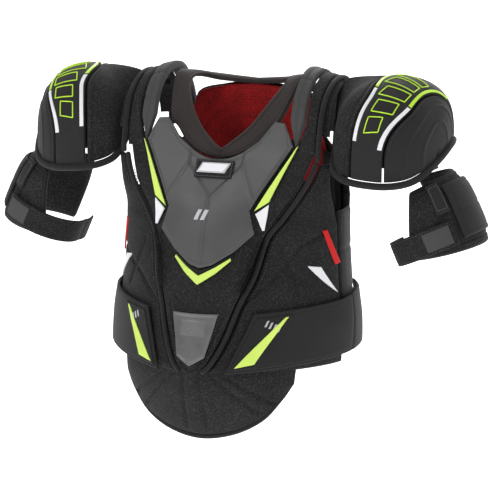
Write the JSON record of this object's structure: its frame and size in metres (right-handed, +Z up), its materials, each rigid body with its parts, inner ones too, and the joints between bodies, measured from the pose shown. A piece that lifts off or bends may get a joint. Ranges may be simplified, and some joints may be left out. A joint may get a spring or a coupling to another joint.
{
  "type": "hockey shoulder pads",
  "caption": "Padded hockey shoulder and chest protector with shoulder caps, upper arm guards, side belts and a belly flap.",
  "frame": {"origin": "on the body's middle plane, at the height where the pads rest on the wearer's shoulders", "axes": "+X towards the wearer's left, -Y to the front, +Z up"},
  "size_m": [0.6258, 0.2593, 0.4293],
  "materials": {
    "mesh_fabric": "matt speckled spacer mesh",
    "smooth_fabric": "smooth coated fabric",
    "binding": "folded edge binding",
    "collar_fabric": "soft brushed trim",
    "moulded_plate": "matt moulded plate",
    "yoke_fabric": "grey coated fabric",
    "green_print": "satin lime green",
    "white_print": "satin white",
    "red_lining": "red mesh lining",
    "red_trim": "bright red tape",
    "foam": "fabric covered foam"
  },
  "bodies": {
    "vest": {"front_liner": "foam", "chest_shield": "mesh_fabric", "sternum_plate": "moulded_plate", "green_chevron": "green_print", "tongue_window": "moulded_plate", "sternum_badge": "white_print", "back_panel_upper": "mesh_fabric", "back_panel_lower": "mesh_fabric", "spine_pad": "smooth_fabric", "back_lining": "red_lining", "size_label": "white_print", "collar_trim": "collar_fabric", "chest_panel_l": "mesh_fabric", "chest_panel_r": "mesh_fabric", "green_wedge_l": "green_print", "green_wedge_r": "green_print", "white_wedge_l": "white_print", "white_wedge_r": "white_print", "shield_piping_l": "binding", "shield_piping_r": "binding", "side_panel_l": "mesh_fabric", "side_panel_r": "mesh_fabric", "side_stripe_l": "red_trim", "side_stripe_r": "red_trim", "white_sliver_l": "white_print", "white_sliver_r": "white_print", "yoke_pad_l": "yoke_fabric", "yoke_pad_r": "yoke_fabric", "yoke_strip_l": "mesh_fabric", "yoke_strip_r": "mesh_fabric", "yoke_piping_l": "binding", "yoke_piping_r": "binding", "shoulder_rest_l": "foam", "shoulder_rest_r": "foam"},
    "cap_l": {"cap_inner_panel_l": "mesh_fabric", "cap_band_l": "smooth_fabric", "cap_outer_panel_l": "smooth_fabric", "cap_liner_l": "foam", "cap_rim_l": "binding"},
    "hanger_l": {"arm_hanger_l": "binding"},
    "arm_l": {"arm_pad_l": "mesh_fabric", "arm_plate_l": "smooth_fabric", "arm_tab_l": "smooth_fabric"},
    "arm_strap_l": {"arm_strap_l": "mesh_fabric"},
    "belt_l": {"belt_l": "smooth_fabric", "belt_label_l": "white_print"},
    "cap_r": {"cap_inner_panel_r": "mesh_fabric", "cap_band_r": "smooth_fabric", "cap_outer_panel_r": "smooth_fabric", "cap_liner_r": "foam", "cap_rim_r": "binding"},
    "hanger_r": {"arm_hanger_r": "binding"},
    "arm_r": {"arm_pad_r": "mesh_fabric", "arm_plate_r": "smooth_fabric", "arm_tab_r": "smooth_fabric"},
    "arm_strap_r": {"arm_strap_r": "mesh_fabric"},
    "belt_r": {"belt_r": "smooth_fabric", "belt_label_r": "white_print"},
    "belly_flap": {"belly_flap": "mesh_fabric"}
  },
  "joints": [
    {"name": "cap_lift_l", "type": "hinge", "parent": "vest", "child": "cap_l", "pos_m": [0.131, 0.024, 0.01], "axis": [0, -1, 0], "range_deg": [0, 50]},
    {"name": "arm_spread_l", "type": "hinge", "parent": "cap_l", "child": "hanger_l", "pos_m": [0.206, 0.02, -0.014], "axis": [0, -1, 0], "range_deg": [-8, 6], "stiffness_Nm_per_rad": 12},
    {"name": "arm_swing_l", "type": "hinge", "parent": "hanger_l", "child": "arm_l", "pos_m": [0.246, 0.02, -0.086], "axis": [-1, 0, 0], "range_deg": [-12, 6], "stiffness_Nm_per_rad": 12},
    {"name": "arm_strap_open_l", "type": "hinge", "parent": "arm_l", "child": "arm_strap_l", "pos_m": [0.289, -0.031, -0.1485], "axis": [-0.4067, 0, 0.9135], "range_deg": [0, 60], "stiffness_Nm_per_rad": 1},
    {"name": "belt_open_l", "type": "hinge", "parent": "vest", "child": "belt_l", "pos_m": [0.133, 0.066, -0.269], "axis": [0, 0, 1], "range_deg": [0, 70]},
    {"name": "cap_lift_r", "type": "hinge", "parent": "vest", "child": "cap_r", "pos_m": [-0.131, 0.024, 0.01], "axis": [0, 1, 0], "range_deg": [0, 50]},
    {"name": "arm_spread_r", "type": "hinge", "parent": "cap_r", "child": "hanger_r", "pos_m": [-0.206, 0.02, -0.014], "axis": [0, 1, 0], "range_deg": [-8, 6], "stiffness_Nm_per_rad": 12},
    {"name": "arm_swing_r", "type": "hinge", "parent": "hanger_r", "child": "arm_r", "pos_m": [-0.246, 0.02, -0.086], "axis": [-1, 0, 0], "range_deg": [-12, 6], "stiffness_Nm_per_rad": 12},
    {"name": "arm_strap_open_r", "type": "hinge", "parent": "arm_r", "child": "arm_strap_r", "pos_m": [-0.289, -0.031, -0.1485], "axis": [-0.4067, 0, -0.9135], "range_deg": [0, 60], "stiffness_Nm_per_rad": 1},
    {"name": "belt_open_r", "type": "hinge", "parent": "vest", "child": "belt_r", "pos_m": [-0.133, 0.066, -0.269], "axis": [0, 0, -1], "range_deg": [0, 70]},
    {"name": "belly_flap_fold", "type": "hinge", "parent": "vest", "child": "belly_flap", "pos_m": [0, -0.128, -0.325], "axis": [-1, 0, 0], "range_deg": [0, 35], "stiffness_Nm_per_rad": 8}
  ]
}
